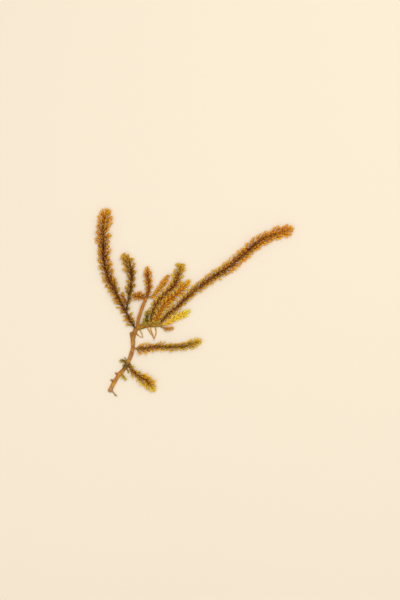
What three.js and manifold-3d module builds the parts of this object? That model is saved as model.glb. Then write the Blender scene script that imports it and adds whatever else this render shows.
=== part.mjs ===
// Caulerpa chemnitzia, a reef seaweed, as one dried plant lying flat.
//
// A creeping stolon carries rootlets below and fronds above. A frond is a thin rachis with club-ended
// branchlets standing out all round it, and drying under a weight has flattened the whole plant a little.
// Millimetres, +Z up. The plant lies on z = 0. The origin is under the fork where the stolon turns and the
// first fronds rise. +X runs along the turned part of the stolon, and the tall fronds grow to +Y.

import * as THREE from "three";
import { mergeVertices } from "three/addons/utils/BufferGeometryUtils.js";
import Module from "manifold-3d";

const wasm = await Module();
wasm.setup();

// Driving sizes.
const STOLON = { halfWidth: 1.65, halfHeight: 1.2, height: 0.95 };
const TURNED_STOLON = { halfWidth: 1.85, endHalfWidth: 1.4, halfHeight: 1.1, height: 0.9 };
const RACHIS = { halfWidth: 0.78, tipHalfWidth: 0.5, flatness: 0.85, height: 2.1, wave: 0.22 };
const ROOTLET = { halfWidth: 0.62, tipHalfWidth: 0.45, height: 0.55 };
const CLUB = { stalk: 0.42, rimAt: 0.94, rim: 0.86, crown: 1.03 };
const PRESSED = 0.55; // height left of what stood up before drying
const GAP = 0.3; // between a frond and what it grows from
const EVERY = 3; // the solids hold every third branchlet of the dense rows

// How a branchlet leaves its rachis: it starts steep and bends towards the frond's tip.
const ROOT_ANGLE = THREE.MathUtils.degToRad(74);
const LEAN_ANGLE = THREE.MathUtils.degToRad(54);
const CROWN_ANGLE = THREE.MathUtils.degToRad(12); // at the frond's very tip
const MOST_ELEVATION = THREE.MathUtils.degToRad(80);
const CROWN_LENGTH = 4.5; // the end of the rachis where branchlets turn forward
const TURN = 0.75488; // share of the way round from one branchlet to the next on its side
const TUFT = 2; // branchlets at the very tip

// The stolon's two stretches, seen from above.
const STOLON_LINE = [
  [-21, -48.6], [-19.7, -45.9], [-17.8, -42.1], [-15.1, -37.6], [-12, -33.6], [-8.9, -30.1],
  [-6.9, -26.6], [-5.2, -22.8], [-3.9, -18.9], [-2.9, -14.3], [-2.8, -9.3], [-3.4, -5.4], [-4.1, -2.4],
];
const TURNED_LINE = [[-2.9, -8.4], [-2, -3.8], [0, 0], [4.1, 1.5], [9.4, 2.8], [13.8, 2.9], [19.4, 2.9]];

// Stumps of old fronds on the stolon's outer side, from its middle outwards.
const STUMPS = [
  [[-13.4, -35.6], [-15, -34.7], [-16.6, -33.8]],
  [[-16.9, -40.8], [-18.6, -39.9], [-20.2, -39.2]],
];

// The fronds. line is the rachis seen from above, from inside its carrier to its tip. reach is how far
// branchlets stand out near the base, halfway and at the tip, and pitch is the rachis length per branchlet
// at the base and at the tip. bare is the naked length at the base, left and right scale the reach on one
// side, lean scales the angle to the rachis, head is that angle at an open tip, knob scales the club ends,
// and stem is the half width of a thick rachis.
const FRONDS = [
  {
    name: "frond_left_long", on: "stolon", colour: 0x9a6c1d,
    line: [
      [-0.8, -0.4], [-2.6, 3.2], [-5.6, 8.5], [-9.7, 16.6], [-15.8, 27.8], [-21.4, 39.4], [-24.6, 52.5],
      [-25.6, 66.4], [-25.6, 78.7], [-23.4, 88.6],
    ],
    reach: [4, 5, 5.7], pitch: [0.47, 0.34], bare: 2.4,
  },
  {
    name: "frond_left_inner", on: "frond_left_long", colour: 0x7d5a1c,
    line: [[-7.9, 13], [-7.2, 17.5], [-6.2, 22.5], [-4.4, 31], [-3.5, 39.4], [-4.4, 47.5], [-7, 54.2]],
    reach: [2.8, 3.6, 5.2], pitch: [0.72, 0.54], bare: 2.6, left: 1.3, right: 0.8, knob: 1.3, head: 34,
  },
  {
    name: "sprout_left", on: "frond_left_inner", colour: 0xa8681f,
    line: [[-7, 18.6], [-8.3, 21.2], [-9.9, 24.2], [-10.3, 26.6]],
    reach: [1.7, 2, 1.6], pitch: [0.64, 0.48], bare: 1.2, lean: 0.6,
  },
  {
    name: "frond_stalked", on: "stolon", colour: 0xa9701f,
    line: [
      [0.9, 0.3], [1.5, 6.5], [3.1, 12.4], [5.2, 18.5], [7.6, 24.3], [9.5, 31.7], [8.9, 39],
      [8.3, 45.4],
    ],
    reach: [2.2, 3.3, 3.5], pitch: [0.65, 0.34], bare: 24.5, stem: 1.25,
  },
  {
    name: "frond_curled", on: "frond_stalked", colour: 0xa45a1c,
    line: [[6.9, 22.4], [4.6, 24.3], [1.6, 25.5], [-2, 25.8]],
    reach: [3.2, 4, 3.4], pitch: [0.44, 0.31], bare: 1.4,
  },
  {
    name: "frond_folded", on: "frond_stalked", colour: 0xb5651a,
    line: [[7.7, 24.6], [11.3, 24.9], [14.3, 27.5], [17.4, 31], [20.7, 35.4], [23.5, 39.4]],
    reach: [1.8, 2.3, 1.6], pitch: [0.5, 0.42], bare: 3, lean: 0.45,
  },
  {
    name: "frond_young", on: "stolon", colour: 0x7b6a1e,
    line: [[8, 2.6], [8, 7], [8.4, 11.6]],
    reach: [3.2, 3.6, 3.8], pitch: [0.5, 0.45], bare: 1.8, knob: 1.2, head: 34,
  },
  {
    name: "frond_knobbed", on: "stolon", colour: 0x7f601c,
    line: [
      [11.2, 2.9], [11.2, 7.7], [12.6, 13.1], [15, 18.3], [19, 23.9], [23.4, 28.2], [27.2, 31.6],
      [30.2, 35.9], [32.3, 41], [34, 47.2],
    ],
    reach: [3.2, 3.9, 5], pitch: [0.58, 0.54], bare: 2.2, knob: 1.3, head: 36,
  },
  {
    name: "frond_golden", on: "stolon", colour: 0xb27c1e,
    line: [
      [14.5, 2.9], [15.6, 7.9], [17.9, 13.5], [20.8, 17.9], [24.6, 21.6], [29.1, 25.3], [33.2, 29.1],
      [36.6, 32.8], [39, 35.4],
    ],
    reach: [3, 4.3, 3.8], pitch: [0.52, 0.39], bare: 2.2,
  },
  {
    name: "frond_right_long", on: "stolon", colour: 0xa3711d,
    line: [
      [17.2, 2.9], [20.3, 6.9], [23.7, 10.6], [27.1, 13.7], [31, 16.6], [35.1, 20.5], [39.8, 25.2],
      [45.4, 30], [52, 35], [59.1, 39.8], [65.2, 43.6], [71.4, 48], [78, 53.8], [84.5, 59.2],
      [90.9, 64.5], [98.4, 69.4], [108.4, 73.8], [117.6, 76.4],
    ],
    reach: [3.2, 4.6, 4.9], pitch: [0.54, 0.32], bare: 2.5,
  },
  {
    name: "frond_yellow", on: "stolon", colour: 0xc8912a,
    line: [[18.9, 3.2], [21.8, 4.3], [25.5, 6], [30.1, 8.4], [35.4, 11], [39, 12.9]],
    reach: [2, 3.2, 2.6], pitch: [0.54, 0.39], bare: 3, lean: 0.8,
  },
  {
    name: "bud_end", on: "stolon", colour: 0x9c541d,
    line: [[18.9, 2], [21.6, 0.9], [24, 0.4], [26.4, 0.3]],
    reach: [1.7, 2, 1.4], pitch: [0.52, 0.42], bare: 1.8, lean: 0.5,
  },
  {
    name: "frond_low_right", on: "stolon", colour: 0x8b6a1c,
    line: [
      [-2.9, -14.8], [2.7, -15.3], [8.1, -14.8], [13.9, -13.8], [19.4, -13.7], [26.5, -13.9],
      [34.4, -13.4], [40.3, -12.3], [44.6, -10.9], [47.4, -9.9],
    ],
    reach: [4.2, 3.1, 4], pitch: [0.54, 0.39], bare: 4.2, head: 30,
  },
  {
    name: "frond_lowest", on: "stolon", colour: 0xa8801f,
    line: [
      [-6.9, -24.9], [-4.9, -29.3], [-2.5, -33.2], [1.2, -36], [6.2, -39], [10.1, -42.3], [12.2, -44.9],
    ],
    reach: [2, 4.7, 4.6], pitch: [0.5, 0.34], bare: 2.4,
  },
  {
    name: "sprig_fork", on: "stolon", colour: 0x6f5a2a,
    line: [[-6.7, -26.2], [-9, -24.9], [-11.4, -24.6]],
    reach: [2.8, 2.5, 1.8], pitch: [0.3, 0.3], bare: 2.1,
  },
  {
    name: "sprig_low", on: "stolon", colour: 0x9b8a2a,
    line: [[-12, -33.6], [-10.4, -36.1], [-8.9, -38.3]],
    reach: [1.6, 1.5, 1.1], pitch: [0.52, 0.39], bare: 2.4, lean: 0.55,
  },
];

// Rootlets: strands that leave the stolon and cling together at their ends.
const ROOTLETS = [
  {
    name: "rootlets_middle", colour: 0xb08a3a,
    strands: [
      [[7.6, 2.4], [9.7, -1.5], [12.1, -5.2], [13.5, -7.9]],
      [[10.6, 2.8], [11.2, -1.2], [12.6, -4.7], [13.5, -7.9]],
      [[14, 2.9], [15, -1.2], [14.8, -5], [13.5, -7.9], [13.2, -9.6]],
    ],
  },
  {
    name: "rootlets_left", colour: 0xb79a62,
    strands: [
      [[1.8, 0.6], [3.7, -2.9], [5.2, -6.8]],
      [[-0.9, -1.7], [1.1, -4.8], [3.4, -6.3], [5.2, -6.8]],
    ],
  },
  {
    name: "rootlets_end", colour: 0x9c7440,
    strands: [
      [[-19.9, -46.3], [-17.4, -49.7], [-14.7, -52.3]],
      [[-19.9, -46.3], [-17.4, -49.7], [-16.3, -52.6]],
    ],
  },
];

// A repeatable number from 0 to 1, a different one for each branchlet and use.
function chance(seed, index, use) {
  const wide = Math.sin(seed * 127.1 + index * 311.7 + use * 74.7) * 43758.5453;
  return wide - Math.floor(wide);
}

// A value that runs evenly through the three values of a list as share goes from 0 to 1.
function among([base, middle, tip], share) {
  return share < 0.5
    ? THREE.MathUtils.lerp(base, middle, share * 2)
    : THREE.MathUtils.lerp(middle, tip, share * 2 - 1);
}

function curveThrough(points) {
  return new THREE.CatmullRomCurve3(points, false, "catmullrom", 0.5);
}

// The curve of a rachis: it leaves its carrier low and then lies at its own height, not quite level.
function rachisCurve(frond, seed) {
  return curveThrough(
    frond.line.map(([x, y], k) => {
      const height = RACHIS.height + RACHIS.wave * Math.sin(1.7 * k + seed);
      return new THREE.Vector3(x, y, k === 0 ? TURNED_STOLON.height : height);
    }),
  );
}

function flatCurve(line, height) {
  return curveThrough(line.map(([x, y]) => new THREE.Vector3(x, y, height)));
}

// A closed solid from a geometry that stands along +Y from 0 to 1, laid along a curve and never below z = 0.
function layAlong(geometry, curve, wide = () => 1, tall = () => 1) {
  const bare = geometry.clone();
  bare.deleteAttribute("normal");
  bare.deleteAttribute("uv");
  const laid = mergeVertices(bare, 1e-5);
  const place = laid.getAttribute("position");
  for (let i = 0; i < place.count; i++) {
    const share = THREE.MathUtils.clamp(place.getY(i), 0, 1);
    const beyond = place.getY(i) - share;
    const centre = curve.getPointAt(share);
    const ahead = curve.getTangentAt(share);
    const side = new THREE.Vector3(-ahead.y, ahead.x, 0).normalize();
    const up = new THREE.Vector3().crossVectors(side, ahead);
    centre.addScaledVector(ahead, beyond * curve.getLength());
    centre.addScaledVector(side, place.getX(i) * wide(share));
    centre.addScaledVector(up, place.getZ(i) * tall(share));
    place.setXYZ(i, centre.x, centre.y, Math.max(centre.z, 0));
  }
  return solidOf(laid);
}

function solidOf(geometry) {
  const corners = geometry.index.array;
  const kept = [];
  for (let i = 0; i < corners.length; i += 3) {
    const [a, b, c] = corners.slice(i, i + 3);
    if (a !== b && b !== c && a !== c) kept.push(a, b, c);
  }
  const mesh = new wasm.Mesh({
    numProp: 3,
    vertProperties: new Float32Array(geometry.getAttribute("position").array),
    triVerts: new Uint32Array(kept),
  });
  return new wasm.Manifold(mesh);
}

// A bar of one unit's length and radius, standing along +Y from 0, with a flat side down.
function bar(sides, steps) {
  return new THREE.CylinderGeometry(1, 1, 1, sides, steps, false, Math.PI / sides).translate(0, 0.5, 0);
}

function tube(curve, sides, stepLength, wide, tall) {
  const steps = Math.max(4, Math.round(curve.getLength() / stepLength));
  return layAlong(bar(sides, steps), curve, wide, tall);
}

function joined(solids) {
  return solids.reduce((whole, solid) => whole.add(solid));
}

// The largest body of a solid: cutting can leave a loose scrap.
function largest(solid) {
  return solid.decompose().reduce((a, b) => (a.volume() > b.volume() ? a : b));
}

const curves = new Map(FRONDS.map((frond, seed) => [frond.name, rachisCurve(frond, seed)]));
const stolonCurve = flatCurve(STOLON_LINE, STOLON.height);
const turnedCurve = flatCurve(TURNED_LINE, TURNED_STOLON.height);

// The plant's midlines as points with a half width, so that branchlets can keep clear of their neighbours.
const midlines = new Map();
for (const [name, curve] of curves) midlines.set(name, { points: spread(curve), halfWidth: 0 });
midlines.set("stolon_creeping", { points: spread(stolonCurve), halfWidth: STOLON.halfWidth });
midlines.set("stolon_turned", { points: spread(turnedCurve), halfWidth: TURNED_STOLON.halfWidth });
for (const { name, strands } of ROOTLETS) {
  const points = strands.flatMap((line) => spread(flatCurve(line, ROOTLET.height)));
  midlines.set(name, { points, halfWidth: 0 });
}

function spread(curve) {
  return curve.getSpacedPoints(Math.ceil(curve.getLength()));
}

// How much nearer a point is to its own frond's rachis than to any other part of the plant.
function roomAt(point, owner) {
  let own = Infinity;
  let other = Infinity;
  for (const [name, { points, halfWidth }] of midlines) {
    const away = Math.min(...points.map((p) => p.distanceTo(point))) - halfWidth;
    if (name === owner) own = away;
    else other = Math.min(other, away);
  }
  return other - own;
}

// One branchlet: a stalk that swells into a blunt club, bent towards the frond's tip.
function branchlet(frond, seed, curve, along, index) {
  const length = curve.getLength();
  const share = (along - frond.bare) / (length - frond.bare);
  const crown = THREE.MathUtils.smoothstep(along, length - CROWN_LENGTH, length);
  const ahead = curve.getTangentAt(along / length);
  const left = new THREE.Vector3(-ahead.y, ahead.x, 0).normalize();
  const onLeft = index % 2 === 0;
  const start = onLeft ? 0 : 0.37;
  const turn = (Math.floor(index / 2) * TURN + start + 0.12 * chance(seed, index, 1)) % 1;
  const elevation = MOST_ELEVATION * (2 * turn - 1);
  const out = left.multiplyScalar((onLeft ? 1 : -1) * Math.cos(elevation));
  out.z = PRESSED * Math.sin(elevation);

  const leanScale = frond.lean ?? 1;
  const headAngle = frond.head ? THREE.MathUtils.degToRad(frond.head) : CROWN_ANGLE;
  const rootAngle = THREE.MathUtils.lerp(ROOT_ANGLE * leanScale, headAngle, crown);
  const leanAngle = THREE.MathUtils.lerp(LEAN_ANGLE * leanScale, headAngle, crown);
  const sideScale = (onLeft ? frond.left : frond.right) ?? 1;
  const reach = among(frond.reach, share) * sideScale * (0.78 + 0.4 * chance(seed, index, 2));
  const fullLength = (reach / Math.sin(LEAN_ANGLE * leanScale)) * (1 - 0.3 * crown);

  const towards = (angle) =>
    out.clone().multiplyScalar(Math.sin(angle)).addScaledVector(ahead, Math.cos(angle));
  const root = curve.getPointAt(along / length);
  const rim = CLUB.rim * (frond.knob ?? 1) * (0.86 + 0.28 * chance(seed, index, 3));
  for (let part = 1; part > 0.4; part -= 0.1) {
    const tip = root.clone().addScaledVector(towards(leanAngle), fullLength * part);
    if (roomAt(tip, frond.name) < 2 * rim + GAP) continue;
    tip.z = Math.max(tip.z, rim * 0.7);
    const knee = root.clone().addScaledVector(towards(rootAngle), fullLength * part * 0.5);
    const profile = [[0, 0], [CLUB.stalk, 0], [rim, CLUB.rimAt], [0, CLUB.crown]]
      .map(([radius, height]) => new THREE.Vector2(radius, height));
    const club = new THREE.LatheGeometry(profile, 3, chance(seed, index, 4) * Math.PI);
    return layAlong(club, new THREE.QuadraticBezierCurve3(root, knee, tip));
  }
  return null;
}

function rachisTube(frond, extra = 0) {
  const curve = curves.get(frond.name);
  const base = frond.stem ?? RACHIS.halfWidth;
  const wide = (t) => THREE.MathUtils.lerp(base, RACHIS.tipHalfWidth, t) + extra;
  return tube(curve, 5, 6, wide, (t) => wide(t) * RACHIS.flatness);
}

function frondSolid(frond, seed, carrier) {
  const curve = curves.get(frond.name);
  const length = curve.getLength();
  const pieces = [rachisTube(frond)];
  let index = 0;
  for (let along = frond.bare; along < length; index++) {
    if (index % EVERY === 0) {
      const club = branchlet(frond, seed, curve, along, index);
      if (club) pieces.push(club);
    }
    along += THREE.MathUtils.lerp(...frond.pitch, along / length);
  }
  for (let last = 1; last <= TUFT; last++) {
    const club = branchlet(frond, seed, curve, length * 0.995, index + last);
    if (club) pieces.push(club);
  }
  return largest(joined(pieces).subtract(carrier));
}

function stolonSolid(extra = 0) {
  const swelling = (t) => STOLON.halfWidth * (1 + 0.06 * Math.sin(23 * t)) + extra;
  const creeping = tube(stolonCurve, 10, 3, swelling, () => STOLON.halfHeight + extra);
  const taper = (t) => THREE.MathUtils.lerp(TURNED_STOLON.halfWidth, TURNED_STOLON.endHalfWidth, t) + extra;
  const turned = tube(turnedCurve, 8, 3, taper, () => TURNED_STOLON.halfHeight + extra);
  const stumps = STUMPS.map((line) => {
    const width = (t) => THREE.MathUtils.lerp(0.9, 0.55, t) + extra;
    return tube(flatCurve(line, STOLON.height), 6, 1, width, width);
  });
  return joined([creeping, turned, ...stumps]);
}

function rootletSolid({ strands }, carrier) {
  const wide = (t) => THREE.MathUtils.lerp(ROOTLET.halfWidth, ROOTLET.tipHalfWidth, t);
  const tubes = strands.map((line) => tube(flatCurve(line, ROOTLET.height), 5, 2, wide, wide));
  return largest(joined(tubes).subtract(carrier));
}

function meshOf(name, solid, colour, roughness) {
  const { vertProperties, triVerts, numProp } = solid.getMesh();
  const geometry = new THREE.BufferGeometry();
  const positions = new Float32Array((vertProperties.length / numProp) * 3);
  for (let i = 0; i < positions.length / 3; i++) {
    positions.set(vertProperties.subarray(i * numProp, i * numProp + 3), i * 3);
  }
  geometry.setAttribute("position", new THREE.BufferAttribute(positions, 3));
  geometry.setIndex(new THREE.BufferAttribute(new Uint32Array(triVerts), 1));
  geometry.computeVertexNormals();
  const mesh = new THREE.Mesh(
    geometry,
    new THREE.MeshStandardMaterial({ color: colour, roughness, metalness: 0 }),
  );
  mesh.name = name;
  return mesh;
}

// A carrier grown by the gap, which is cut from what grows out of it.
const carriers = new Map([["stolon", stolonSolid(GAP)]]);
for (const { on } of FRONDS) {
  const bearer = FRONDS.find(({ name }) => name === on);
  if (bearer) carriers.set(on, rachisTube(bearer, GAP).add(carriers.get("stolon")));
}

const plant = new THREE.Group();
plant.add(meshOf("stolon", stolonSolid(), 0xb07a35, 0.6));
for (const rootlet of ROOTLETS) {
  plant.add(meshOf(rootlet.name, rootletSolid(rootlet, carriers.get("stolon")), rootlet.colour, 0.65));
}
FRONDS.forEach((frond, seed) => {
  plant.add(meshOf(frond.name, frondSolid(frond, seed, carriers.get(frond.on)), frond.colour, 0.55));
});

export default plant;
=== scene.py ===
import math
import bpy
import numpy as np
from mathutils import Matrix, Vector


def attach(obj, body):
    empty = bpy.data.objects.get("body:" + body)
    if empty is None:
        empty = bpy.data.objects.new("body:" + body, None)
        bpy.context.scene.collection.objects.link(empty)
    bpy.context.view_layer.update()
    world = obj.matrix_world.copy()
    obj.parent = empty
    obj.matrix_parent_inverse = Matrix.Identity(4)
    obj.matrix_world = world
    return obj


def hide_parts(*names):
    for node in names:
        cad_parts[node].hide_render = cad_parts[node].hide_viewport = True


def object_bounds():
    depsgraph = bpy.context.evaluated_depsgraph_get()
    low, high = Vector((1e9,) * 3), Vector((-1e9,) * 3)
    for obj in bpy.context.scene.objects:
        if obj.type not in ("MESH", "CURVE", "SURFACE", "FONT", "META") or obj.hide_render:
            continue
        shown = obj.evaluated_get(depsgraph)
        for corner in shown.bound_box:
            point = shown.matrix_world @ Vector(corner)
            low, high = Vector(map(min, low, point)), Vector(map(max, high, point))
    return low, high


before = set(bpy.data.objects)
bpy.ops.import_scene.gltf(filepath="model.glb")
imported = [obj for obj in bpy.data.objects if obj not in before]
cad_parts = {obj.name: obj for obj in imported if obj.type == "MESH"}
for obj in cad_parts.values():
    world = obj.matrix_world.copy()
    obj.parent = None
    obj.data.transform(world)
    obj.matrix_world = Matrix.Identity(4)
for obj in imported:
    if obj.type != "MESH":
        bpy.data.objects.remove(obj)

solid_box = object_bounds()

# Stolon
# The creeping runner of the seaweed: one round, leathery stem, dried to wrinkled tan skin
# and pressed a little flat. It grew in one piece with a turned, greener end, and the old
# end beside the turn was cut off and has greyed.

MM = 0.001
UP = Vector((0, 0, 1))
CREEPING_HEIGHT = 0.95
TURNED_HEIGHT = 0.9
STOLON_LINE = [
    (-21, -48.6), (-19.7, -45.9), (-17.8, -42.1), (-15.1, -37.6), (-12, -33.6), (-8.9, -30.1),
    (-6.9, -26.6), (-5.2, -22.8), (-3.9, -18.9), (-2.9, -14.3), (-2.8, -9.3), (-3.4, -5.4), (-4.1, -2.4),
]
TURNED_LINE = [(-2.9, -8.4), (-2, -3.8), (0, 0), (4.1, 1.5), (9.4, 2.8), (13.8, 2.9), (19.4, 2.9)]
STUMP_LINES = [
    [(-13.4, -35.6), (-15, -34.7), (-16.6, -33.8)],
    [(-16.9, -40.8), (-18.6, -39.9), (-20.2, -39.2)],
]


def chance(seed, index, use):
    wide = math.sin(seed * 127.1 + index * 311.7 + use * 74.7) * 43758.5453
    return wide - math.floor(wide)


def blend(a, b, t):
    return a + (b - a) * t


def ease(t):
    t = min(max(t, 0.0), 1.0)
    return t * t * (3 - 2 * t)


COURSE_STEPS = 24


class Course:
    """A smooth curve through points in millimetres, measured along its length."""

    def __init__(self, points):
        knots = [Vector(p) for p in points]
        knots = [2 * knots[0] - knots[1]] + knots + [2 * knots[-1] - knots[-2]]
        self.points = []
        for a, b, c, d in zip(knots, knots[1:], knots[2:], knots[3:]):
            for step in range(COURSE_STEPS):
                t = step / COURSE_STEPS
                self.points.append(0.5 * (2 * b + (c - a) * t + (2 * a - 5 * b + 4 * c - d) * t ** 2
                                          + (3 * b - a - 3 * c + d) * t ** 3))
        self.points.append(knots[-2])
        self.marks = [0.0]
        for a, b in zip(self.points, self.points[1:]):
            self.marks.append(self.marks[-1] + (b - a).length)
        self.length = self.marks[-1]

    def at(self, along):
        within = min(max(along, 0.0), self.length * 0.99999)
        k = int(np.searchsorted(self.marks, within, side="right")) - 1
        t = (along - self.marks[k]) / (self.marks[k + 1] - self.marks[k])
        return self.points[k].lerp(self.points[k + 1], t)

    def ahead(self, along):
        return (self.at(min(along + 0.2, self.length)) - self.at(max(along - 0.2, 0.0))).normalized()


class Skin:
    """Rings of points that are joined to closed tubes, with a few values kept at every point."""

    def __init__(self):
        self.points = []
        self.faces = []
        self.stain = []
        self.fold = []
        self.tone = []

    def ring(self, centre, side, up, wide, tall, sides, stain, fold, tone, ripple=None, start=0.0):
        first = len(self.points)
        for k in range(sides):
            turn = 2 * math.pi * (k + start) / sides
            swell = 1.0 if ripple is None else ripple(turn)
            p = centre + side * (math.cos(turn) * wide * swell) + up * (math.sin(turn) * tall * swell)
            self.points.append((p.x, p.y, max(p.z, 0.0)))
            self.stain.append(stain)
            self.fold.append((math.cos(turn), math.sin(turn), fold))
            self.tone.append(tone)
        return first

    def join(self, first, second, sides):
        for k in range(sides):
            n = (k + 1) % sides
            self.faces.append((first + k, first + n, second + n, second + k))

    def cap(self, first, sides, centre, outward, stain, fold, tone):
        hub = len(self.points)
        self.points.append((centre.x, centre.y, max(centre.z, 0.0)))
        self.stain.append(stain)
        self.fold.append((0.0, 0.0, fold))
        self.tone.append(tone)
        for k in range(sides):
            n = (k + 1) % sides
            self.faces.append((first + k, first + n, hub) if outward else (first + n, first + k, hub))

    def piece(self, name, node, material):
        mesh = bpy.data.meshes.new(name)
        low, high = solid_box
        places = np.clip(np.array(self.points) * MM, np.array(low), np.array(high))
        mesh.from_pydata(places.tolist(), [], self.faces)
        stain = mesh.attributes.new("stain", "FLOAT_COLOR", "POINT")
        stain.data.foreach_set("color", [v for c in self.stain for v in (c[0], c[1], c[2], 1.0)])
        mesh.attributes.new("tone", "FLOAT", "POINT").data.foreach_set("value", self.tone)
        fold = mesh.attributes.new("fold", "FLOAT_VECTOR", "POINT")
        fold.data.foreach_set("vector", [v for place in self.fold for v in place])
        mesh.materials.append(material)
        mesh.shade_smooth()
        made = bpy.data.objects.new(name, mesh)
        bpy.context.scene.collection.objects.link(made)
        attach(made, "root")
        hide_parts(node)


def paint(code):
    parts = [int(code[i:i + 2], 16) / 255 for i in (1, 3, 5)]
    return tuple(c / 12.92 if c <= 0.04045 else ((c + 0.055) / 1.055) ** 2.4 for c in parts)


def mixed(a, b, t):
    return tuple(blend(x, y, t) for x, y in zip(a, b))


def dried_skin(name, dark, glow, fleck_scale, wrinkle_scale, wrinkle, rough, flesh, furrow_scale=1.7):
    """Dried plant skin: its stain, darker where it has shrunk, with pale flecks and fine wrinkles whose
    furrows are painted darker as painted shade.
    """
    material = bpy.data.materials.new(name)
    material.use_nodes = True
    nodes, links = material.node_tree.nodes, material.node_tree.links
    shader = nodes["Principled BSDF"]
    stain = nodes.new("ShaderNodeAttribute")
    stain.attribute_name = "stain"
    tone = nodes.new("ShaderNodeAttribute")
    tone.attribute_name = "tone"
    where = nodes.new("ShaderNodeTexCoord")

    patch = nodes.new("ShaderNodeTexNoise")
    patch.inputs["Scale"].default_value = fleck_scale
    patch.inputs["Detail"].default_value = 5
    links.new(where.outputs["Object"], patch.inputs["Vector"])
    shrunk = nodes.new("ShaderNodeMapRange")
    shrunk.inputs["From Min"].default_value = 0.38
    shrunk.inputs["From Max"].default_value = 0.62
    links.new(patch.outputs["Fac"], shrunk.inputs["Value"])
    darker = nodes.new("ShaderNodeMix")
    darker.data_type = "RGBA"
    darker.blend_type = "MULTIPLY"
    links.new(shrunk.outputs["Result"], darker.inputs["Factor"])
    links.new(stain.outputs["Color"], darker.inputs["A"])
    darker.inputs["B"].default_value = (*dark, 1)

    fold = nodes.new("ShaderNodeAttribute")
    fold.attribute_name = "fold"
    furrows = nodes.new("ShaderNodeTexNoise")
    furrows.inputs["Scale"].default_value = furrow_scale
    furrows.inputs["Detail"].default_value = 3
    links.new(fold.outputs["Vector"], furrows.inputs["Vector"])
    # Painted shade: the colour darkens where the furrow noise is low, which is where the bump below sinks
    # the skin.
    painted_furrow_shade = nodes.new("ShaderNodeMapRange")
    painted_furrow_shade.inputs["From Min"].default_value = 0.36
    painted_furrow_shade.inputs["From Max"].default_value = 0.56
    painted_furrow_shade.inputs["To Min"].default_value = 0.62
    painted_furrow_shade.inputs["To Max"].default_value = 1.0
    links.new(furrows.outputs["Fac"], painted_furrow_shade.inputs["Value"])
    furrow_shaded = nodes.new("ShaderNodeMix")
    furrow_shaded.data_type = "RGBA"
    furrow_shaded.blend_type = "MULTIPLY"
    furrow_shaded.inputs["Factor"].default_value = 0.6
    links.new(darker.outputs["Result"], furrow_shaded.inputs["A"])
    links.new(painted_furrow_shade.outputs["Result"], furrow_shaded.inputs["B"])

    pale = nodes.new("ShaderNodeMix")
    pale.data_type = "RGBA"
    pale.blend_type = "OVERLAY"
    links.new(furrow_shaded.outputs["Result"], pale.inputs["A"])
    pale.inputs["B"].default_value = (*glow, 1)
    links.new(tone.outputs["Fac"], pale.inputs["Factor"])
    links.new(pale.outputs["Result"], shader.inputs["Base Color"])

    creases = nodes.new("ShaderNodeTexNoise")
    creases.inputs["Scale"].default_value = wrinkle_scale
    creases.inputs["Detail"].default_value = 6
    creases.inputs["Roughness"].default_value = 0.6
    links.new(where.outputs["Object"], creases.inputs["Vector"])
    worn = nodes.new("ShaderNodeMapRange")
    worn.inputs["To Min"].default_value = rough - 0.12
    worn.inputs["To Max"].default_value = rough + 0.16
    links.new(creases.outputs["Fac"], worn.inputs["Value"])
    links.new(worn.outputs["Result"], shader.inputs["Roughness"])
    relief = nodes.new("ShaderNodeBump")
    relief.inputs["Strength"].default_value = wrinkle
    relief.inputs["Distance"].default_value = 0.00025
    links.new(creases.outputs["Fac"], relief.inputs["Height"])
    furrowed = nodes.new("ShaderNodeBump")
    furrowed.inputs["Strength"].default_value = 0.7
    furrowed.inputs["Distance"].default_value = 0.0004
    links.new(furrows.outputs["Fac"], furrowed.inputs["Height"])
    links.new(relief.outputs["Normal"], furrowed.inputs["Normal"])
    links.new(furrowed.outputs["Normal"], shader.inputs["Normal"])

    shader.inputs["Subsurface Weight"].default_value = flesh
    shader.inputs["Subsurface Radius"].default_value = (1.0, 0.5, 0.18)
    shader.inputs["Subsurface Scale"].default_value = 0.002
    shader.inputs["Specular IOR Level"].default_value = 0.2
    return material


stolon_skin = dried_skin(
    "stolon_skin", (0.66, 0.5, 0.26), (0.66, 0.56, 0.38), 300, 1600, 0.9, 0.52, 0.2, furrow_scale=3.6)
STOLON_TAN = paint("#d29a3a")
STOLON_BROWN = paint("#a2661c")
STOLON_OLIVE = paint("#a48426")
STOLON_PINK = paint("#c99a72")
FORK_OLIVE = paint("#544618")
TURN_BROWN = paint("#a87428")
CUT_GREY = paint("#96785a")
WRINKLES = 5
WRINKLE_DEPTH = 0.022


def runner(skin, course, half_width, half_height, height, stain_at, seed,
           sides=28, step=0.35, rounding=1.3):
    """A stem lying on the ground: wrinkled lengthwise, flat underneath, with dished ends."""
    rings = max(4, int(course.length / step))
    tracks = []
    for k in range(WRINKLES):
        start = chance(seed, k, 1) * 6.283
        lobes = 3 + int(chance(seed, k, 2) * 9)
        drift = 0.5 + chance(seed, k, 3)
        tracks.append((start, lobes, drift))
    last = None
    for i in range(rings + 1):
        share = i / rings
        along = share * course.length
        centre = course.at(along)
        centre.z = height
        ahead = course.ahead(along)
        side = Vector((-ahead.y, ahead.x, 0)).normalized()

        def ripple(turn):
            depth = sum(
                math.sin(turn * lobes + start + along * 0.16 * drift) for start, lobes, drift in tracks)
            knots = math.sin(along * 2.3 + seed) * 0.035 + math.sin(along * 0.71 + seed * 2) * 0.06
            return 1 + depth * WRINKLE_DEPTH + knots

        wide = half_width(share)
        end = min(along, course.length - along)
        round_off = 1 - 0.4 * max(0.0, 1 - end / rounding) ** 2
        first = skin.ring(centre, side, UP, wide * round_off, half_height * round_off, sides,
                          stain_at(share), along * 0.12 + seed, 0.3 * chance(seed, i // 3, 5), ripple)
        if last is None:
            skin.cap(first, sides, centre + ahead * 0.25, False, stain_at(0), 0, 0)
        else:
            skin.join(last, first, sides)
        last = first
    skin.cap(last, sides, centre - ahead * 0.35, True, stain_at(1), 1, 0)


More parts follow.
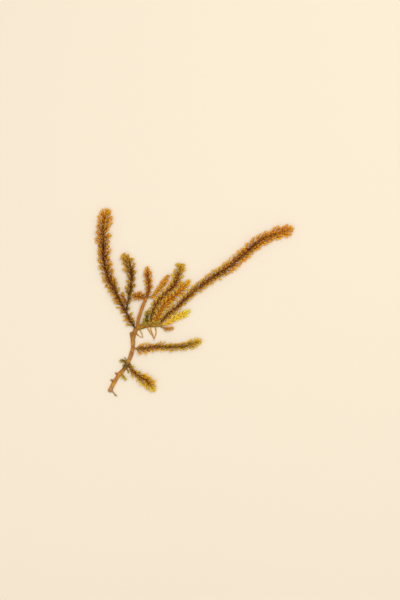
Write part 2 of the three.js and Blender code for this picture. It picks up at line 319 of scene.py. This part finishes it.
def creeping_stain(share):
    patch = 0.5 + 0.5 * math.sin(share * 31) * math.sin(share * 12.7)
    fresh = mixed(STOLON_TAN, STOLON_BROWN, 0.75 * patch)
    aged = mixed(fresh, STOLON_PINK, 0.8 * ease((0.14 - share) / 0.14))
    at_fork = mixed(aged, FORK_OLIVE, 0.9 * ease(1 - abs(share - 0.47) / 0.11))
    faded = mixed(at_fork, STOLON_PINK, 0.5 * ease(1 - abs(share - 0.62) / 0.07))
    at_turn = mixed(faded, TURN_BROWN, 0.8 * ease((share - 0.78) / 0.12))
    return mixed(at_turn, CUT_GREY, 0.7 * ease((share - 0.96) / 0.04))


def turned_stain(share):
    patch = 0.5 + 0.5 * math.sin(share * 17) * math.sin(share * 7.3 + 1)
    grown = mixed(STOLON_OLIVE, STOLON_BROWN, 0.5 * patch)
    return mixed(TURN_BROWN, grown, ease((share - 0.22) / 0.3))


stolon = Skin()
creeping = Course([(x, y, 0) for x, y in STOLON_LINE])
turned = Course([(x, y, 0) for x, y in TURNED_LINE])


def creeping_width(share):
    end_knob = 0.22 * ease(1 - share / 0.06)
    fork_swell = 0.16 * ease(1 - abs(share - 0.45) / 0.07)
    return 1.48 * (1 + 0.06 * math.sin(23 * share) + end_knob + fork_swell)


def turned_width(share):
    return blend(1.76, 1.32, share)


def stump_width(share):
    return blend(0.9, 0.62, share)


def stump_stain(share):
    return mixed(STOLON_BROWN, STOLON_PINK, share)


runner(stolon, creeping, creeping_width, 1.1, CREEPING_HEIGHT, creeping_stain, 1)
runner(stolon, turned, turned_width, 1.05, TURNED_HEIGHT, turned_stain, 2, sides=24)
for k, line in enumerate(STUMP_LINES):
    stump = Course([(x, y, 0) for x, y in line])
    runner(stolon, stump, stump_width, 0.7, TURNED_HEIGHT, stump_stain, 3 + k,
           sides=18, step=0.16, rounding=0.45)
stolon.piece("stolon_skin", "stolon", stolon_skin)

# Rootlets
# Thread-like holdfasts that grew down from the stolon into the sand. Each strand is a loose
# bundle of fine hairs, dried to pale straw, and the strands cling together where they end.

ROOTLET_HEIGHT = 0.55
ROOTLETS = {
    "rootlets_middle": ("#eebc4c", "#f0a25a", [
        [(7.6, 2.4), (9.7, -1.5), (12.1, -5.2), (13.5, -7.9)],
        [(10.6, 2.8), (11.2, -1.2), (12.6, -4.7), (13.5, -7.9)],
        [(14, 2.9), (15, -1.2), (14.8, -5), (13.5, -7.9), (13.2, -9.6)],
    ]),
    "rootlets_left": ("#d8ae4c", "#f0c886", [
        [(1.8, 0.6), (3.7, -2.9), (5.2, -6.8)],
        [(-0.9, -1.7), (1.1, -4.8), (3.4, -6.3), (5.2, -6.8)],
    ]),
    "rootlets_end": ("#cc9c68", "#bc9a66", [
        [(-19.9, -46.3), (-17.4, -49.7), (-14.7, -52.3)],
        [(-19.9, -46.3), (-17.4, -49.7), (-16.3, -52.6)],
    ]),
}
HAIRS = 6
HAIR_SIDES = 8
HAIR_STEP = 0.3
rootlet_skin = dried_skin(
    "rootlet_skin", (0.8, 0.68, 0.5), (0.7, 0.62, 0.45), 700, 2600, 0.5, 0.6, 0.35)


def hair(skin, course, near, far, seed):
    """One hair of a strand, winding loosely about the strand's middle."""
    reach = course.length * (0.88 + 0.12 * chance(seed, 1, 1))
    rings = int(reach / HAIR_STEP)
    last = None
    for i in range(rings + 1):
        share = i / rings
        along = share * reach
        ahead = course.ahead(along)
        side = Vector((-ahead.y, ahead.x, 0)).normalized()
        winding = along * (0.25 + 0.3 * chance(seed, 2, 1))
        turn = seed * 2.4 + winding + 0.6 * math.sin(along * 1.1 + seed)
        apart = blend(0.4, 0.24, share) * (0.8 + 0.2 * math.sin(along * 0.8 + seed * 1.7))
        centre = course.at(along) + side * (math.cos(turn) * apart)
        centre.z = ROOTLET_HEIGHT + math.sin(turn) * apart
        swell = 1 + 0.14 * math.sin(along * 3.1 + seed) - 0.6 * ease((share - 0.9) / 0.1)
        wide = blend(0.24, 0.15, share) * swell
        stain = mixed(paint(near), paint(far), share * (0.6 + 0.4 * chance(seed, 3, 1)))
        first = skin.ring(centre, side, UP, wide, wide, HAIR_SIDES, stain, along * 0.2 + seed,
                          0.5 * chance(seed, 4, 1))
        if last is None:
            skin.cap(first, HAIR_SIDES, centre, False, stain, 0, 0)
        else:
            skin.join(last, first, HAIR_SIDES)
        last = first
    skin.cap(last, HAIR_SIDES, centre + ahead * 0.1, True, stain, 1, 0)


for number, (name, (near, far, strands)) in enumerate(ROOTLETS.items()):
    skin = Skin()
    for k, line in enumerate(strands):
        course = Course([(x, y, ROOTLET_HEIGHT) for x, y in line])
        for each in range(HAIRS):
            hair(skin, course, near, far, number * 31 + k * 7 + each)
    skin.piece(name + "_threads", name, rootlet_skin)

# Fronds
# Each is a dark, thin rachis crowded all round with trumpet-shaped branchlets that lean to
# its tip, all grown in one. Fresh they are green and plump; dried and pressed they are
# amber and olive, and dark brown towards the stem. Their ends are painted paler, as painted
# light shining through them, and the branchlets that crowd over the stem are painted darker,
# as painted shade.

HEIGHT_LEFT = 0.55
ROOT_ANGLE = math.radians(74)
LEAN_ANGLE = math.radians(54)
CROWN_ANGLE = math.radians(12)
MOST_ELEVATION = math.radians(80)
CROWN_LENGTH = 4.5
TURN_STEP = 0.75488
RIGHT_SIDE_TURN = 0.37
RIM_HALF_WIDTH = 0.84
FOOT_HALF_WIDTH = 0.36
BRANCHLET_SIDES = 14
PALE_TIP = "#f2cf58"
# Painted light: the pale rim given to the ends of branchlets that lie out flat, as if lit through.
PAINTED_GLOW_RIM = "#ffdf78"
RACHIS_SIDES = 16
RACHIS_STEP = 0.4
RACHIS_FOOT = 0.78
RACHIS_TIP = 0.42

# Lengths are in millimetres. A frond's line runs from foot to tip. Colours of its branchlet
# ends and their reach are given at its base, middle and tip, and pitch, their spacing, at
# its base and tip. The end colours are the plant's own amber made brighter and more
# saturated, partly painted light, as if lit through the thin ends. The first stretch is bare.
# A lean under 1 lays the branchlets closer, and knob widens them.
FRONDS = {
    "frond_left_long": dict(
        slot="frond_golden", colours=("#d0a41a", "#e2a21a", "#ec9e20"), heart="#5c2a12",
        line=[(-0.8, -0.4), (-2.6, 3.2), (-5.6, 8.5), (-9.7, 16.6), (-15.8, 27.8), (-21.4, 39.4),
              (-24.6, 52.5), (-25.6, 66.4), (-25.6, 78.7), (-23.4, 88.6)],
        reach=(4, 5, 5.7), pitch=(0.47, 0.34), bare=2.4),
    "frond_left_inner": dict(
        slot="frond_olive", colours=("#cca21e", "#cc961e", "#cf9a24"), heart="#5c2c10",
        line=[(-7.9, 13), (-7.2, 17.5), (-6.2, 22.5), (-4.4, 31), (-3.5, 39.4), (-4.4, 47.5), (-7, 54.2)],
        reach=(2.8, 3.6, 5.2), pitch=(0.72, 0.54), bare=2.6, left=1.3, right=0.8, knob=1.3, head=34),
    "sprout_left": dict(
        slot="frond_orange", colours=("#d29420", "#eaa63c", "#dc9c24"), heart="#93500c",
        line=[(-7, 18.6), (-8.3, 21.2), (-9.9, 24.2), (-10.3, 26.6)],
        reach=(1.7, 2, 1.6), pitch=(0.64, 0.48), bare=1.2, lean=0.6),
    "frond_stalked": dict(
        slot="frond_golden", colours=("#eaac24", "#ecae24", "#f59f20"), heart="#7c3408",
        line=[(0.9, 0.3), (1.5, 6.5), (3.1, 12.4), (5.2, 18.5), (7.6, 24.3), (9.5, 31.7), (8.9, 39),
              (8.3, 45.4)],
        reach=(2.2, 3.3, 3.5), pitch=(0.65, 0.34), bare=24.5, stem=1.32, stalk="#b8781c"),
    "frond_curled": dict(
        slot="frond_orange", colours=("#e09a22", "#d0801c", "#d89a26"), heart="#a0641a",
        line=[(6.9, 22.4), (4.6, 24.3), (1.6, 25.5), (-2, 25.8)],
        reach=(3.2, 4, 3.4), pitch=(0.44, 0.31), bare=1.4, knob=1.2),
    "frond_folded": dict(
        slot="frond_orange", colours=("#e8a63c", "#f0a034", "#ea8c28"), heart="#c08826",
        line=[(7.7, 24.6), (11.3, 24.9), (14.3, 27.5), (17.4, 31), (20.7, 35.4), (23.5, 39.4)],
        reach=(1.8, 2.3, 1.6), pitch=(0.5, 0.42), bare=3, lean=0.45),
    "frond_young": dict(
        slot="frond_olive", colours=("#aa921c", "#b0981e", "#b89c1e"), heart="#5e4a0a",
        line=[(8, 2.6), (8, 7), (8.4, 11.6)],
        reach=(3.2, 3.6, 3.8), pitch=(0.5, 0.45), bare=1.8, knob=1.2, head=34),
    "frond_knobbed": dict(
        slot="frond_olive", colours=("#ceb024", "#f6b426", "#d8aa28"), heart="#6c3210",
        line=[(11.2, 2.9), (11.2, 7.7), (12.6, 13.1), (15, 18.3), (19, 23.9), (23.4, 28.2), (27.2, 31.6),
              (30.2, 35.9), (32.3, 41), (34, 47.2)],
        reach=(3.2, 3.9, 5), pitch=(0.58, 0.54), bare=2.2, knob=1.3, head=36),
    "frond_golden": dict(
        slot="frond_golden", colours=("#e4b41c", "#ffc01e", "#ffbe1e"), heart="#bc6c0c",
        line=[(14.5, 2.9), (15.6, 7.9), (17.9, 13.5), (20.8, 17.9), (24.6, 21.6), (29.1, 25.3), (33.2, 29.1),
              (36.6, 32.8), (39, 35.4)],
        reach=(3, 4.3, 3.8), pitch=(0.52, 0.39), bare=2.2),
    "frond_right_long": dict(
        slot="frond_golden", colours=("#e0b41e", "#f8b824", "#fa9f22"), heart="#642c18",
        line=[(17.2, 2.9), (20.3, 6.9), (23.7, 10.6), (27.1, 13.7), (31, 16.6), (35.1, 20.5), (39.8, 25.2),
              (45.4, 30), (52, 35), (59.1, 39.8), (65.2, 43.6), (71.4, 48), (78, 53.8), (84.5, 59.2),
              (90.9, 64.5), (98.4, 69.4), (108.4, 73.8), (117.6, 76.4)],
        reach=(3.2, 4.6, 4.9), pitch=(0.54, 0.32), bare=2.5),
    "frond_yellow": dict(
        slot="frond_yellow", colours=("#f2a42a", "#ffd240", "#ffe65a"), heart="#fac440",
        line=[(18.9, 3.2), (21.8, 4.3), (25.5, 6), (30.1, 8.4), (35.4, 11), (39, 12.9)],
        reach=(2, 3.2, 2.6), pitch=(0.54, 0.39), bare=3, lean=0.8),
    "bud_end": dict(
        slot="frond_orange", colours=("#c8942c", "#d89a4c", "#dc9a60"), heart="#b47f46",
        line=[(18.9, 2), (21.6, 0.9), (24, 0.4), (26.4, 0.3)],
        reach=(1.7, 2, 1.4), pitch=(0.52, 0.42), bare=1.8, lean=0.5),
    "frond_low_right": dict(
        slot="frond_olive", colours=("#fcae34", "#e8b428", "#f4c834"), heart="#6c4412",
        stalk="#a8742e",
        line=[(-2.9, -14.8), (2.7, -15.3), (8.1, -14.8), (13.9, -13.8), (19.4, -13.7), (26.5, -13.9),
              (34.4, -13.4), (40.3, -12.3), (44.6, -10.9), (47.4, -9.9)],
        reach=(4.2, 3.1, 4), pitch=(0.54, 0.39), bare=4.2, head=30),
    "frond_lowest": dict(
        slot="frond_golden", colours=("#a89420", "#f4c424", "#fcd02c"), heart="#854c10", stalk="#5e4c1a",
        line=[(-6.9, -24.9), (-4.9, -29.3), (-2.5, -33.2), (1.2, -36), (6.2, -39), (10.1, -42.3),
              (12.2, -44.9)],
        reach=(2, 4.7, 4.6), pitch=(0.5, 0.34), bare=2.4),
    "sprig_fork": dict(
        slot="frond_olive", colours=("#9a8630", "#a69248", "#ae9c56"), heart="#6b5420",
        line=[(-6.7, -26.2), (-9, -24.9), (-11.4, -24.6)],
        reach=(2.8, 2.5, 1.8), pitch=(0.3, 0.3), bare=2.1),
    "sprig_low": dict(
        slot="frond_yellow", colours=("#b8a428", "#d2bc34", "#dcc83c"), heart="#a08a1c",
        line=[(-12, -33.6), (-10.4, -36.1), (-8.9, -38.3)],
        reach=(1.6, 1.5, 1.1), pitch=(0.52, 0.39), bare=2.4, lean=0.55),
}
frond_skins = {
    "frond_golden": dried_skin(
        "golden_branchlets", (0.88, 0.76, 0.34), (0.64, 0.56, 0.2), 900, 3000, 0.6, 0.42, 0.5),
    "frond_olive": dried_skin(
        "olive_branchlets", (0.88, 0.82, 0.42), (0.62, 0.57, 0.26), 900, 3000, 0.6, 0.46, 0.45),
    "frond_orange": dried_skin(
        "orange_branchlets", (0.9, 0.78, 0.42), (0.64, 0.52, 0.26), 800, 2800, 0.6, 0.42, 0.5),
    "frond_yellow": dried_skin(
        "yellow_branchlets", (0.98, 0.9, 0.56), (0.72, 0.66, 0.36), 800, 2800, 0.5, 0.42, 0.5),
}


def among(three, share):
    base, middle, tip = three
    return blend(base, middle, share * 2) if share < 0.5 else blend(middle, tip, share * 2 - 1)


def stain_among(three, share):
    base, middle, tip = (paint(code) for code in three)
    return mixed(base, middle, share * 2) if share < 0.5 else mixed(middle, tip, share * 2 - 1)


FROND_FOOT_HEIGHT = 0.9
FROND_HEIGHT = 2.1
courses = {}
for number, (name, frond) in enumerate(FRONDS.items()):
    waves = [FROND_HEIGHT + 0.22 * math.sin(1.7 * k + number) for k in range(len(frond["line"]))]
    heights = [FROND_FOOT_HEIGHT] + waves[1:]
    courses[name] = Course([(x, y, z) for (x, y), z in zip(frond["line"], heights)])


def marks_along(course):
    return np.array([tuple(course.at(d)) for d in np.arange(0, course.length, 0.8)])


def spread(line, height):
    return marks_along(Course([(x, y, height) for x, y in line]))


neighbours = {name: (marks_along(course), 0.0) for name, course in courses.items()}
neighbours["stolon_creeping"] = (spread(STOLON_LINE, CREEPING_HEIGHT), 1.65)
neighbours["stolon_turned"] = (spread(TURNED_LINE, TURNED_HEIGHT), 1.85)
for name, (_, _, strands) in ROOTLETS.items():
    neighbours[name] = (np.concatenate([spread(line, ROOTLET_HEIGHT) for line in strands]), 0.0)


def room_at(point, owner):
    """How much nearer a point is to its own stem than to any other one."""
    own = other = 1e9
    for name, (points, half_width) in neighbours.items():
        away = float(np.sqrt(((points - point) ** 2).sum(axis=1).min())) - half_width
        if name == owner:
            own = away
        else:
            other = min(other, away)
    return other - own


# The outline of a branchlet: how far up it is, and how wide as a share of its rim.
TRUMPET = [
    (0, 0.36), (0.2, 0.35), (0.4, 0.4), (0.56, 0.5), (0.7, 0.64), (0.81, 0.8), (0.9, 0.94), (0.96, 1.0),
    (1.0, 0.88), (1.015, 0.62), (0.985, 0.32),
]


def branchlet(skin, name, frond, seed, course, along, index, upright_by=None, short=1):
    """One branchlet from its root on the stem to its dished end, if it has room."""
    length = course.length
    share = (along - frond["bare"]) / (length - frond["bare"])
    crown = ease((along - length + CROWN_LENGTH) / CROWN_LENGTH)
    ahead = course.ahead(along)
    left = Vector((-ahead.y, ahead.x, 0)).normalized()
    on_left = index % 2 == 0
    side_turn = 0 if on_left else RIGHT_SIDE_TURN
    turn = (index // 2 * TURN_STEP + side_turn + 0.12 * chance(seed, index, 1)) % 1
    elevation = MOST_ELEVATION * (2 * turn - 1) if upright_by is None else upright_by
    out = left * ((1 if on_left else -1) * math.cos(elevation))
    out.z = HEIGHT_LEFT * math.sin(elevation)

    lean = frond.get("lean", 1)
    head_angle = math.radians(frond["head"]) if "head" in frond else CROWN_ANGLE
    stray = 0.82 + 0.36 * chance(seed, index, 16)
    root_angle = blend(ROOT_ANGLE * lean, head_angle, crown) * stray
    lean_angle = blend(LEAN_ANGLE * lean, head_angle, crown) * stray
    side_scale = frond.get("left" if on_left else "right", 1)
    reach = among(frond["reach"], share) * side_scale * (0.78 + 0.4 * chance(seed, index, 2))
    full = short * reach / math.sin(LEAN_ANGLE * lean) * (1 - 0.3 * crown)
    rim = RIM_HALF_WIDTH * frond.get("knob", 1) * (0.7 + 0.4 * chance(seed, index, 3))
    root = course.at(along)

    def towards(angle):
        return out * math.sin(angle) + ahead * math.cos(angle)

    for part in (1, 0.9, 0.8, 0.7, 0.6, 0.5):
        tip = root + towards(lean_angle) * full * part
        if room_at(np.array(tip), name) > rim * 0.6:
            break
    else:
        return
    tip.z = max(tip.z, rim * 0.55)
    knee = root + towards(root_angle) * full * part * 0.5
    knee.z = max(knee.z, 0.4)

    flat = 0.62 + 0.3 * chance(seed, index, 6)
    furrows = 3 + int(2 * chance(seed, index, 10))
    shrunk = 0.08 + 0.14 * chance(seed, index, 9)
    twist = chance(seed, index, 4)
    tone = chance(seed, index, 8)
    tip_stain_light_and_shade = mixed(stain_among(frond["colours"], share), paint(PALE_TIP), 0.3 * tone)
    heart = mixed(paint(frond["heart"]), tip_stain_light_and_shade, 0.45 * ease((share - 0.72) / 0.28))
    shade = 0.5 + 0.5 * math.sin(along * 0.9 + seed) * math.sin(along * 0.37 + 2 * seed)
    # Branchlets that rise over or dip under the stem take more of the heart colour: painted shade where they
    # crowd. The slow change along the frond is the plant's own darker drying.
    patch_and_crowd_shade = 0.12 * shade + 0.62 * math.sin(elevation) ** 2
    tip_stain_light_and_shade = mixed(tip_stain_light_and_shade, heart, patch_and_crowd_shade * (1 - 0.6 * crown))
    # Painted shade: branchlets given a set rise, the steep ones over the stem and those of the fringe, take
    # still more of the heart colour.
    if upright_by is not None:
        tip_stain_light_and_shade = mixed(tip_stain_light_and_shade, heart, 0.5)
    # Painted light: the ends of branchlets that lie out flat are painted pale, as if lit through; those that
    # rise or dip stay darker.
    painted_glow_end = mixed(tip_stain_light_and_shade, paint(PAINTED_GLOW_RIM), 0.7 * (1 - math.sin(elevation) ** 2))
    last = None
    for t, swell in TRUMPET:
        s = min(t, 1.0)
        centre = root * (1 - s) ** 2 + knee * (2 * s * (1 - s)) + tip * s ** 2
        aim = ((knee - root) * (1 - s) + (tip - knee) * s).normalized()
        centre += aim * (t - s) * full * part
        across = Vector((-aim.y, aim.x, 0)).normalized()
        upright = aim.cross(across) * -1
        if upright.z < 0:
            upright = upright * -1
        width = rim * swell if t > 0.5 else blend(FOOT_HALF_WIDTH, rim * swell, t / 0.6)
        wobble = 1 + 0.14 * (chance(seed, index * 11 + int(t * 20), 5) - 0.5)

        def dried(a, t=t):
            pinch = max(0.0, math.cos(a * furrows + index + 0.6 * t)) ** 3 * shrunk
            return 1 - min(1, t * 1.4) * (pinch - 0.06 * math.cos(a * 2 + index * 1.7 + t))

        stain = mixed(heart, tip_stain_light_and_shade, ease(t * 1.3 - 0.15))
        stain = mixed(stain, painted_glow_end, 0.3 * ease(t * 4 - 3))
        first = skin.ring(centre, across, upright, width * wobble, width * wobble * flat,
                          BRANCHLET_SIDES, stain, t * 0.5 + index * 0.37, tone * 0.5, dried, twist)
        if last is None:
            skin.cap(first, BRANCHLET_SIDES, centre, False, heart, 0, tone)
        else:
            skin.join(last, first, BRANCHLET_SIDES)
        last = first
    dish = centre - aim * 0.08 * rim
    # Painted shade: the dished end is darker than its rim, as shade in the hollow.
    dish_stain_and_shade = mixed(tip_stain_light_and_shade, heart, 0.35)
    skin.cap(last, BRANCHLET_SIDES, dish, True, dish_stain_and_shade, index * 0.37, tone * 0.5)


def rachis(skin, frond, seed, course):
    """The stem of a frond, with a broader foot in the colour of the stolon."""
    rings = int(course.length / RACHIS_STEP)
    heart = paint(frond["heart"])
    stalk = paint(frond.get("stalk", frond["heart"]))
    last = None
    for i in range(rings + 1):
        share = i / rings
        along = share * course.length
        ahead = course.ahead(along)
        side = Vector((-ahead.y, ahead.x, 0)).normalized()
        lumps = 0.05 * math.sin(along * 1.9 + seed) + 0.06 * math.sin(along * 0.83 + 2 * seed)
        foot = 0.22 * ease(1 - along / 3.2)
        taper = max(0.0, (along - frond["bare"]) / (course.length - frond["bare"]))
        wide = blend(frond.get("stem", RACHIS_FOOT) - 0.08, RACHIS_TIP, taper) * (1 + lumps + foot)
        naked = 1 - ease((along - frond["bare"] + 1) / 4)
        stain = mixed(mixed(heart, stalk, naked), STOLON_OLIVE, 0.7 * ease(1 - (along - 0.6) / 2.2))

        def wrinkled(a):
            return 1 + 0.05 * math.sin(a * 5 + along * 0.3) + 0.05 * math.sin(a * 3 - along * 0.17 + seed)

        first = skin.ring(course.at(along), side, UP, wide, wide * 0.85, RACHIS_SIDES, stain,
                          along * 0.15 + seed, 0.3 * chance(seed, i // 2, 13), wrinkled)
        if last is None:
            skin.cap(first, RACHIS_SIDES, course.at(0), False, stain, 0, 0)
        else:
            skin.join(last, first, RACHIS_SIDES)
        last = first
    skin.cap(last, RACHIS_SIDES, course.at(course.length) + ahead * 0.25, True, stain, 1, 0)


# A few threads round the lower fork, which grow from the same place as its sprig.
FORK_THREADS = [
    [(-7.4, -25.2), (-9.6, -26.6), (-11.2, -29.2)], [(-7.6, -27.2), (-10, -28.4), (-10.8, -31)],
    [(-6.4, -26), (-4.4, -27.6), (-3.2, -29.6)], [(-7.2, -28), (-5.4, -30.4), (-4.6, -33)],
    [(-8.6, -29.8), (-6.8, -32), (-6.6, -34.6)], [(-6.2, -24.6), (-8.4, -23.2), (-9.4, -21.4)],
]
THREAD_HAIRS = 3
BASE_EXTRAS = 5
TUFT = 8
CREST_START = 1000
CREST_SPACING = 2.6

for number, (name, frond) in enumerate(FRONDS.items()):
    course = courses[name]
    skin = Skin()
    rachis(skin, frond, number, course)
    for extra in range(1, BASE_EXTRAS + 1):
        along = frond["bare"] - extra * frond["pitch"][0]
        if 1.5 < along < 4:
            branchlet(skin, name, frond, number, course, along, -extra)
    index = 0
    along = frond["bare"]
    while along < course.length:
        branchlet(skin, name, frond, number, course, along, index)
        along += blend(*frond["pitch"], along / course.length)
        index += 1
    for last in range(1, TUFT + 1):
        near_tip = course.length * (1 - 0.004 * last)
        branchlet(skin, name, frond, number, course, near_tip, index + last)
    crest = frond["bare"] + 0.6
    while crest < course.length - 1.5:
        index += 1
        steep = math.radians(62 + 24 * chance(number, index, 14))
        above = -1 if index % 4 == 0 else 1
        branchlet(skin, name, frond, number, course, crest, CREST_START + index, above * steep,
                  0.5 + 0.3 * chance(number, index, 15))
        crest += frond["pitch"][1] * CREST_SPACING
    if name == "sprig_fork":
        for k, line in enumerate(FORK_THREADS):
            thread = Course([(x, y, ROOTLET_HEIGHT) for x, y in line])
            for each in range(THREAD_HAIRS):
                hair(skin, thread, "#7c6a2c", "#b89a4c", 200 + k * 7 + each)
    skin.piece(name + "_brush", name, frond_skins[frond["slot"]])

# Fringe
# Short young branchlets that grow straight from the turned end of the stolon and crowd the
# gaps between the feet of its fronds. Soft dried plant, one growth with the stolon.

FRINGE = dict(
    colours=("#ccb050", "#d6b64c", "#d2a644"), heart="#a07e36",
    reach=(3.2, 3.9, 3.5), bare=12.4, head=58, knob=0.9)
FRINGE_SEED = 40
neighbours["fringe"] = (spread(TURNED_LINE, TURNED_HEIGHT), 3.1)
fringe = Skin()
fringe_course = Course([(x, y + 0.35, 1.15) for x, y in TURNED_LINE])
along = FRINGE["bare"]
index = 0
while along < fringe_course.length - 0.8:
    rise = math.radians(88 * chance(FRINGE_SEED, index, 17) - 4)
    branchlet(fringe, "fringe", FRINGE, FRINGE_SEED, fringe_course, along, index, rise,
              0.75 + 0.4 * chance(FRINGE_SEED, index, 18))
    along += 0.22 + 0.2 * chance(FRINGE_SEED, index, 19)
    index += 2
fringe.piece("turned_end_fringe", "stolon", frond_skins["frond_olive"])

# Floor
# A plain matt surface of warm white, much larger than the view. It lies just under the
# plant and only catches its soft shadows.

FLOOR_REACH = 4
FLOOR_DROP = 0.00003
floor_mesh = bpy.data.meshes.new("floor")
corners = [(-1, -1), (1, -1), (1, 1), (-1, 1)]
floor_mesh.from_pydata(
    [(x * FLOOR_REACH, y * FLOOR_REACH, -FLOOR_DROP) for x, y in corners], [], [(0, 1, 2, 3)])
floor = bpy.data.objects.new("floor", floor_mesh)
bpy.context.scene.collection.objects.link(floor)
floor_paint = bpy.data.materials.new("floor_paint")
floor_paint.use_nodes = True
floor_shader = floor_paint.node_tree.nodes["Principled BSDF"]
floor_shader.inputs["Roughness"].default_value = 0.85
floor_shader.inputs["Specular IOR Level"].default_value = 0.15
floor_grain = floor_paint.node_tree.nodes.new("ShaderNodeTexNoise")
floor_grain.inputs["Scale"].default_value = 14
floor_ramp = floor_paint.node_tree.nodes.new("ShaderNodeValToRGB")
floor_ramp.color_ramp.elements[0].color = (*paint("#dfd3bf"), 1)
floor_ramp.color_ramp.elements[1].color = (*paint("#e2d8c5"), 1)
floor_paint.node_tree.links.new(floor_grain.outputs["Fac"], floor_ramp.inputs["Fac"])
floor_paint.node_tree.links.new(floor_ramp.outputs["Color"], floor_shader.inputs["Base Color"])
floor_mesh.materials.append(floor_paint)

# Light and camera
# A broad soft lamp from the upper right, a weak one from the lower left, an even pale room
# all round, and a long lens that looks straight down.

VIEW_MIDDLE = (0.049, 0.0224)
VIEW_HEIGHT = 0.4632
LENS_LENGTH = 100
FILM_WIDTH = 24
FILM_HEIGHT = 36
LIT_PLACE = Vector((0.05, 0.02, 0))


def lamp(name, place, size, power, tint):
    data = bpy.data.lights.new(name, "AREA")
    data.size = size
    data.energy = power
    data.color = tint
    made = bpy.data.objects.new(name, data)
    made.location = place
    made.rotation_euler = (LIT_PLACE - Vector(place)).to_track_quat("-Z", "Y").to_euler()
    bpy.context.scene.collection.objects.link(made)


lamp("main_lamp", (0.35, 0.3, 1.15), 0.9, 8.7, (1.0, 0.98, 0.95))
lamp("fill_lamp", (-0.5, -0.3, 1.1), 0.9, 2.8, (0.98, 0.98, 1.0))
world = bpy.data.worlds.new("soft_room")
world.use_nodes = True
world.node_tree.nodes["Background"].inputs["Color"].default_value = (1.0, 0.97, 0.93, 1)
world.node_tree.nodes["Background"].inputs["Strength"].default_value = 0.68
bpy.context.scene.world = world

lens = bpy.data.cameras.new("camera")
lens.type = "PERSP"
lens.lens = LENS_LENGTH
lens.sensor_fit = "VERTICAL"
lens.sensor_height = FILM_HEIGHT
lens.sensor_width = FILM_WIDTH
camera = bpy.data.objects.new("camera", lens)
camera.location = (*VIEW_MIDDLE, VIEW_HEIGHT * LENS_LENGTH / FILM_HEIGHT + 0.002)
camera.rotation_euler = (0, 0, 0)
bpy.context.scene.collection.objects.link(camera)
bpy.context.scene.camera = camera
bpy.context.scene.view_settings.view_transform = "Standard"
